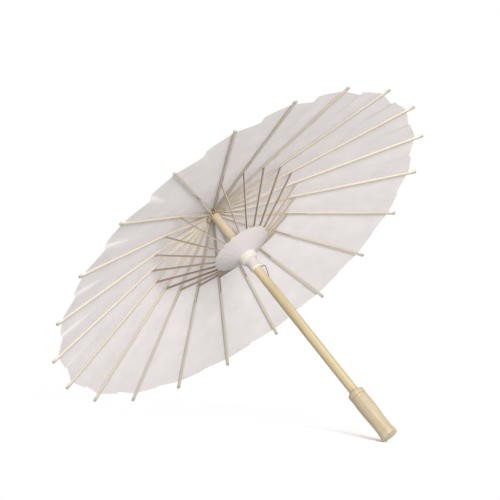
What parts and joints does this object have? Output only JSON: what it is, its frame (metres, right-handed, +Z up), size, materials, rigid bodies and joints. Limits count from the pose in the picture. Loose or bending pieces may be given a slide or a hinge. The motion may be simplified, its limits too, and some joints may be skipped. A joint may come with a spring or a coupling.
{
  "type": "oil paper umbrella",
  "caption": "Open white paper parasol with bamboo ribs, sliding runner and turned grip, lying at rest on its rim and grip.",
  "frame": {"origin": "centre of the bounding box's footprint, on the ground that the parasol lies on", "axes": "+Z up from the ground; +X along the ground from the canopy toward the grip; +Y across the canopy's width. The pole leans in the XZ plane, down toward +X."},
  "size_m": [0.4487, 0.5992, 0.4495],
  "materials": {
    "paper": "matte",
    "rib_bamboo": "satin",
    "stretcher_bamboo": "satin",
    "pole_bamboo": "satin",
    "turned_wood": "satin",
    "head_wood": "matte",
    "runner_wood": "satin",
    "thread": "matte",
    "wire": "satin"
  },
  "bodies": {
    "frame": {"pole": "pole_bamboo", "grip": "turned_wood", "head": "head_wood", "head_pin": "rib_bamboo", "head_thread": "thread", "top_cap": "paper", "cap_thread": "thread", "catch_pin": "wire", "canopy_paper": "paper"},
    "runner": {"runner": "runner_wood", "runner_thread": "thread", "runner_wrap": "paper", "runner_foot_ring": "runner_wood", "collar_paper": "paper"},
    "catch": {"catch_wire": "wire"},
    "rib_01": {"rib_01": "rib_bamboo"},
    "stretcher_01": {"stretcher_01": "stretcher_bamboo"},
    "rib_02": {"rib_02": "rib_bamboo"},
    "stretcher_02": {"stretcher_02": "stretcher_bamboo"},
    "rib_03": {"rib_03": "rib_bamboo"},
    "stretcher_03": {"stretcher_03": "stretcher_bamboo"},
    "rib_04": {"rib_04": "rib_bamboo"},
    "stretcher_04": {"stretcher_04": "stretcher_bamboo"},
    "rib_05": {"rib_05": "rib_bamboo"},
    "stretcher_05": {"stretcher_05": "stretcher_bamboo"},
    "rib_06": {"rib_06": "rib_bamboo"},
    "stretcher_06": {"stretcher_06": "stretcher_bamboo"},
    "rib_07": {"rib_07": "rib_bamboo"},
    "stretcher_07": {"stretcher_07": "stretcher_bamboo"},
    "rib_08": {"rib_08": "rib_bamboo"},
    "stretcher_08": {"stretcher_08": "stretcher_bamboo"},
    "rib_09": {"rib_09": "rib_bamboo"},
    "stretcher_09": {"stretcher_09": "stretcher_bamboo"},
    "rib_10": {"rib_10": "rib_bamboo"},
    "stretcher_10": {"stretcher_10": "stretcher_bamboo"},
    "rib_11": {"rib_11": "rib_bamboo"},
    "stretcher_11": {"stretcher_11": "stretcher_bamboo"},
    "rib_12": {"rib_12": "rib_bamboo"},
    "stretcher_12": {"stretcher_12": "stretcher_bamboo"},
    "rib_13": {"rib_13": "rib_bamboo"},
    "stretcher_13": {"stretcher_13": "stretcher_bamboo"},
    "rib_14": {"rib_14": "rib_bamboo"},
    "stretcher_14": {"stretcher_14": "stretcher_bamboo"},
    "rib_15": {"rib_15": "rib_bamboo"},
    "stretcher_15": {"stretcher_15": "stretcher_bamboo"},
    "rib_16": {"rib_16": "rib_bamboo"},
    "stretcher_16": {"stretcher_16": "stretcher_bamboo"},
    "rib_17": {"rib_17": "rib_bamboo"},
    "stretcher_17": {"stretcher_17": "stretcher_bamboo"},
    "rib_18": {"rib_18": "rib_bamboo"},
    "stretcher_18": {"stretcher_18": "stretcher_bamboo"},
    "rib_19": {"rib_19": "rib_bamboo"},
    "stretcher_19": {"stretcher_19": "stretcher_bamboo"},
    "rib_20": {"rib_20": "rib_bamboo"},
    "stretcher_20": {"stretcher_20": "stretcher_bamboo"},
    "rib_21": {"rib_21": "rib_bamboo"},
    "stretcher_21": {"stretcher_21": "stretcher_bamboo"}
  },
  "joints": [
    {"name": "canopy_fold", "type": "hinge", "parent": "frame", "child": "rib_01", "pos_m": [-0.09013, 0.00134, 0.26622], "axis": [-0.0986, -0.9888, -0.1118], "range_deg": [0, 72.05], "deforming": ["canopy_paper", "collar_paper", "runner_thread", "catch_wire"]},
    {"name": "rib_02_hinge", "type": "hinge", "parent": "frame", "child": "rib_02", "pos_m": [-0.0896, 0.00391, 0.26682], "axis": [-0.287, -0.901, -0.3254], "range_deg": [0, 72.05]},
    {"name": "rib_03_hinge", "type": "hinge", "parent": "frame", "child": "rib_03", "pos_m": [-0.0886, 0.00612, 0.26795], "axis": [-0.4499, -0.7331, -0.5101], "range_deg": [0, 72.05]},
    {"name": "rib_04_hinge", "type": "hinge", "parent": "frame", "child": "rib_04", "pos_m": [-0.08722, 0.00779, 0.26952], "axis": [-0.5729, -0.5, -0.6495], "range_deg": [0, 72.05]},
    {"name": "rib_05_hinge", "type": "hinge", "parent": "frame", "child": "rib_05", "pos_m": [-0.08556, 0.00877, 0.2714], "axis": [-0.6449, -0.2225, -0.7311], "range_deg": [0, 72.05]},
    {"name": "rib_06_hinge", "type": "hinge", "parent": "frame", "child": "rib_06", "pos_m": [-0.08379, 0.00897, 0.2734], "axis": [-0.6597, 0.0747, -0.7478], "range_deg": [0, 72.05]},
    {"name": "rib_07_hinge", "type": "hinge", "parent": "frame", "child": "rib_07", "pos_m": [-0.08206, 0.00838, 0.27536], "axis": [-0.6158, 0.3653, -0.6981], "range_deg": [0, 72.05]},
    {"name": "rib_08_hinge", "type": "hinge", "parent": "frame", "child": "rib_08", "pos_m": [-0.08053, 0.00704, 0.27711], "axis": [-0.5172, 0.6235, -0.5863], "range_deg": [0, 72.05]},
    {"name": "rib_09_hinge", "type": "hinge", "parent": "frame", "child": "rib_09", "pos_m": [-0.07932, 0.00507, 0.27848], "axis": [-0.3726, 0.8262, -0.4225], "range_deg": [0, 72.05]},
    {"name": "rib_10_hinge", "type": "hinge", "parent": "frame", "child": "rib_10", "pos_m": [-0.07855, 0.00265, 0.27935], "axis": [-0.195, 0.9556, -0.221], "range_deg": [0, 72.05]},
    {"name": "rib_11_hinge", "type": "hinge", "parent": "frame", "child": "rib_11", "pos_m": [-0.07829, 0, 0.27965], "axis": [0, 1, 0], "range_deg": [0, 72.05]},
    {"name": "rib_12_hinge", "type": "hinge", "parent": "frame", "child": "rib_12", "pos_m": [-0.07855, -0.00265, 0.27935], "axis": [0.195, 0.9556, 0.221], "range_deg": [0, 72.05]},
    {"name": "rib_13_hinge", "type": "hinge", "parent": "frame", "child": "rib_13", "pos_m": [-0.07932, -0.00507, 0.27848], "axis": [0.3726, 0.8262, 0.4225], "range_deg": [0, 72.05]},
    {"name": "rib_14_hinge", "type": "hinge", "parent": "frame", "child": "rib_14", "pos_m": [-0.08053, -0.00704, 0.27711], "axis": [0.5172, 0.6235, 0.5863], "range_deg": [0, 72.05]},
    {"name": "rib_15_hinge", "type": "hinge", "parent": "frame", "child": "rib_15", "pos_m": [-0.08206, -0.00838, 0.27536], "axis": [0.6158, 0.3653, 0.6981], "range_deg": [0, 72.05]},
    {"name": "rib_16_hinge", "type": "hinge", "parent": "frame", "child": "rib_16", "pos_m": [-0.08379, -0.00897, 0.2734], "axis": [0.6597, 0.0747, 0.7478], "range_deg": [0, 72.05]},
    {"name": "rib_17_hinge", "type": "hinge", "parent": "frame", "child": "rib_17", "pos_m": [-0.08556, -0.00877, 0.2714], "axis": [0.6449, -0.2225, 0.7311], "range_deg": [0, 72.05]},
    {"name": "rib_18_hinge", "type": "hinge", "parent": "frame", "child": "rib_18", "pos_m": [-0.08722, -0.00779, 0.26952], "axis": [0.5729, -0.5, 0.6495], "range_deg": [0, 72.05]},
    {"name": "rib_19_hinge", "type": "hinge", "parent": "frame", "child": "rib_19", "pos_m": [-0.0886, -0.00612, 0.26795], "axis": [0.4499, -0.7331, 0.5101], "range_deg": [0, 72.05]},
    {"name": "rib_20_hinge", "type": "hinge", "parent": "frame", "child": "rib_20", "pos_m": [-0.0896, -0.00391, 0.26682], "axis": [0.287, -0.901, 0.3254], "range_deg": [0, 72.05]},
    {"name": "rib_21_hinge", "type": "hinge", "parent": "frame", "child": "rib_21", "pos_m": [-0.09013, -0.00134, 0.26622], "axis": [0.0986, -0.9888, 0.1118], "range_deg": [0, 72.05]},
    {"name": "stretcher_01_pivot", "type": "hinge", "parent": "rib_01", "child": "stretcher_01", "pos_m": [-0.14128, 0.01789, 0.16499], "axis": [0.0986, 0.9888, 0.1118], "range_deg": [0, 134.12]},
    {"name": "stretcher_02_pivot", "type": "hinge", "parent": "rib_02", "child": "stretcher_02", "pos_m": [-0.1343, 0.05207, 0.17289], "axis": [0.287, 0.901, 0.3254], "range_deg": [0, 134.12]},
    {"name": "stretcher_03_pivot", "type": "hinge", "parent": "rib_03", "child": "stretcher_03", "pos_m": [-0.12098, 0.08162, 0.18801], "axis": [0.4499, 0.7331, 0.5101], "range_deg": [0, 134.12]},
    {"name": "stretcher_04_pivot", "type": "hinge", "parent": "rib_04", "child": "stretcher_04", "pos_m": [-0.10248, 0.10392, 0.20898], "axis": [0.5729, 0.5, 0.6495], "range_deg": [0, 134.12]},
    {"name": "stretcher_05_pivot", "type": "hinge", "parent": "rib_05", "child": "stretcher_05", "pos_m": [-0.08045, 0.11699, 0.23395], "axis": [0.6449, 0.2225, 0.7311], "range_deg": [0, 134.12]},
    {"name": "stretcher_06_pivot", "type": "hinge", "parent": "rib_06", "child": "stretcher_06", "pos_m": [-0.05685, 0.11966, 0.2607], "axis": [0.6597, -0.0747, 0.7478], "range_deg": [0, 134.12]},
    {"name": "stretcher_07_pivot", "type": "hinge", "parent": "rib_07", "child": "stretcher_07", "pos_m": [-0.03378, 0.1117, 0.28685], "axis": [0.6158, -0.3653, 0.6981], "range_deg": [0, 134.12]},
    {"name": "stretcher_08_pivot", "type": "hinge", "parent": "rib_08", "child": "stretcher_08", "pos_m": [-0.01329, 0.09382, 0.31008], "axis": [0.5172, -0.6235, 0.5863], "range_deg": [0, 134.12]},
    {"name": "stretcher_09_pivot", "type": "hinge", "parent": "rib_09", "child": "stretcher_09", "pos_m": [0.0028, 0.0676, 0.32833], "axis": [0.3726, -0.8262, 0.4225], "range_deg": [0, 134.12]},
    {"name": "stretcher_10_pivot", "type": "hinge", "parent": "rib_10", "child": "stretcher_10", "pos_m": [0.01307, 0.03537, 0.33997], "axis": [0.195, -0.9556, 0.221], "range_deg": [0, 134.12]},
    {"name": "stretcher_11_pivot", "type": "hinge", "parent": "rib_11", "child": "stretcher_11", "pos_m": [0.0166, 0, 0.34397], "axis": [0, -1, 0], "range_deg": [0, 134.12]},
    {"name": "stretcher_12_pivot", "type": "hinge", "parent": "rib_12", "child": "stretcher_12", "pos_m": [0.01307, -0.03537, 0.33997], "axis": [-0.195, -0.9556, -0.221], "range_deg": [0, 134.12]},
    {"name": "stretcher_13_pivot", "type": "hinge", "parent": "rib_13", "child": "stretcher_13", "pos_m": [0.0028, -0.0676, 0.32833], "axis": [-0.3726, -0.8262, -0.4225], "range_deg": [0, 134.12]},
    {"name": "stretcher_14_pivot", "type": "hinge", "parent": "rib_14", "child": "stretcher_14", "pos_m": [-0.01329, -0.09382, 0.31008], "axis": [-0.5172, -0.6235, -0.5863], "range_deg": [0, 134.12]},
    {"name": "stretcher_15_pivot", "type": "hinge", "parent": "rib_15", "child": "stretcher_15", "pos_m": [-0.03378, -0.1117, 0.28685], "axis": [-0.6158, -0.3653, -0.6981], "range_deg": [0, 134.12]},
    {"name": "stretcher_16_pivot", "type": "hinge", "parent": "rib_16", "child": "stretcher_16", "pos_m": [-0.05685, -0.11966, 0.2607], "axis": [-0.6597, -0.0747, -0.7478], "range_deg": [0, 134.12]},
    {"name": "stretcher_17_pivot", "type": "hinge", "parent": "rib_17", "child": "stretcher_17", "pos_m": [-0.08045, -0.11699, 0.23395], "axis": [-0.6449, 0.2225, -0.7311], "range_deg": [0, 134.12]},
    {"name": "stretcher_18_pivot", "type": "hinge", "parent": "rib_18", "child": "stretcher_18", "pos_m": [-0.10248, -0.10392, 0.20898], "axis": [-0.5729, 0.5, -0.6495], "range_deg": [0, 134.12]},
    {"name": "stretcher_19_pivot", "type": "hinge", "parent": "rib_19", "child": "stretcher_19", "pos_m": [-0.12098, -0.08162, 0.18801], "axis": [-0.4499, 0.7331, -0.5101], "range_deg": [0, 134.12]},
    {"name": "stretcher_20_pivot", "type": "hinge", "parent": "rib_20", "child": "stretcher_20", "pos_m": [-0.1343, -0.05207, 0.17289], "axis": [-0.287, 0.901, -0.3254], "range_deg": [0, 134.12]},
    {"name": "stretcher_21_pivot", "type": "hinge", "parent": "rib_21", "child": "stretcher_21", "pos_m": [-0.14128, -0.01789, 0.16499], "axis": [-0.0986, 0.9888, -0.1118], "range_deg": [0, 134.12]},
    {"name": "runner_slide", "type": "slide", "parent": "frame", "child": "runner", "axis": [0.7499, 0, -0.6615], "range_m": [0, 0.15586]},
    {"name": "catch_press", "type": "hinge", "parent": "frame", "child": "catch", "pos_m": [0.01237, 0.0025, 0.19346], "axis": [0.3308, -0.866, 0.375], "range_deg": [0, 15], "stiffness_Nm_per_rad": 0.01}
  ],
  "couplings": [
    {"joint": "rib_02_hinge", "follows": "canopy_fold", "ratio": 1},
    {"joint": "rib_03_hinge", "follows": "canopy_fold", "ratio": 1},
    {"joint": "rib_04_hinge", "follows": "canopy_fold", "ratio": 1},
    {"joint": "rib_05_hinge", "follows": "canopy_fold", "ratio": 1},
    {"joint": "rib_06_hinge", "follows": "canopy_fold", "ratio": 1},
    {"joint": "rib_07_hinge", "follows": "canopy_fold", "ratio": 1},
    {"joint": "rib_08_hinge", "follows": "canopy_fold", "ratio": 1},
    {"joint": "rib_09_hinge", "follows": "canopy_fold", "ratio": 1},
    {"joint": "rib_10_hinge", "follows": "canopy_fold", "ratio": 1},
    {"joint": "rib_11_hinge", "follows": "canopy_fold", "ratio": 1},
    {"joint": "rib_12_hinge", "follows": "canopy_fold", "ratio": 1},
    {"joint": "rib_13_hinge", "follows": "canopy_fold", "ratio": 1},
    {"joint": "rib_14_hinge", "follows": "canopy_fold", "ratio": 1},
    {"joint": "rib_15_hinge", "follows": "canopy_fold", "ratio": 1},
    {"joint": "rib_16_hinge", "follows": "canopy_fold", "ratio": 1},
    {"joint": "rib_17_hinge", "follows": "canopy_fold", "ratio": 1},
    {"joint": "rib_18_hinge", "follows": "canopy_fold", "ratio": 1},
    {"joint": "rib_19_hinge", "follows": "canopy_fold", "ratio": 1},
    {"joint": "rib_20_hinge", "follows": "canopy_fold", "ratio": 1},
    {"joint": "rib_21_hinge", "follows": "canopy_fold", "ratio": 1},
    {"joint": "stretcher_01_pivot", "follows": "canopy_fold", "ratio": 1.8616},
    {"joint": "stretcher_02_pivot", "follows": "canopy_fold", "ratio": 1.8616},
    {"joint": "stretcher_03_pivot", "follows": "canopy_fold", "ratio": 1.8616},
    {"joint": "stretcher_04_pivot", "follows": "canopy_fold", "ratio": 1.8616},
    {"joint": "stretcher_05_pivot", "follows": "canopy_fold", "ratio": 1.8616},
    {"joint": "stretcher_06_pivot", "follows": "canopy_fold", "ratio": 1.8616},
    {"joint": "stretcher_07_pivot", "follows": "canopy_fold", "ratio": 1.8616},
    {"joint": "stretcher_08_pivot", "follows": "canopy_fold", "ratio": 1.8616},
    {"joint": "stretcher_09_pivot", "follows": "canopy_fold", "ratio": 1.8616},
    {"joint": "stretcher_10_pivot", "follows": "canopy_fold", "ratio": 1.8616},
    {"joint": "stretcher_11_pivot", "follows": "canopy_fold", "ratio": 1.8616},
    {"joint": "stretcher_12_pivot", "follows": "canopy_fold", "ratio": 1.8616},
    {"joint": "stretcher_13_pivot", "follows": "canopy_fold", "ratio": 1.8616},
    {"joint": "stretcher_14_pivot", "follows": "canopy_fold", "ratio": 1.8616},
    {"joint": "stretcher_15_pivot", "follows": "canopy_fold", "ratio": 1.8616},
    {"joint": "stretcher_16_pivot", "follows": "canopy_fold", "ratio": 1.8616},
    {"joint": "stretcher_17_pivot", "follows": "canopy_fold", "ratio": 1.8616},
    {"joint": "stretcher_18_pivot", "follows": "canopy_fold", "ratio": 1.8616},
    {"joint": "stretcher_19_pivot", "follows": "canopy_fold", "ratio": 1.8616},
    {"joint": "stretcher_20_pivot", "follows": "canopy_fold", "ratio": 1.8616},
    {"joint": "stretcher_21_pivot", "follows": "canopy_fold", "ratio": 1.8616},
    {"joint": "runner_slide", "follows": "canopy_fold", "m_per_rad": 0.12394}
  ]
}
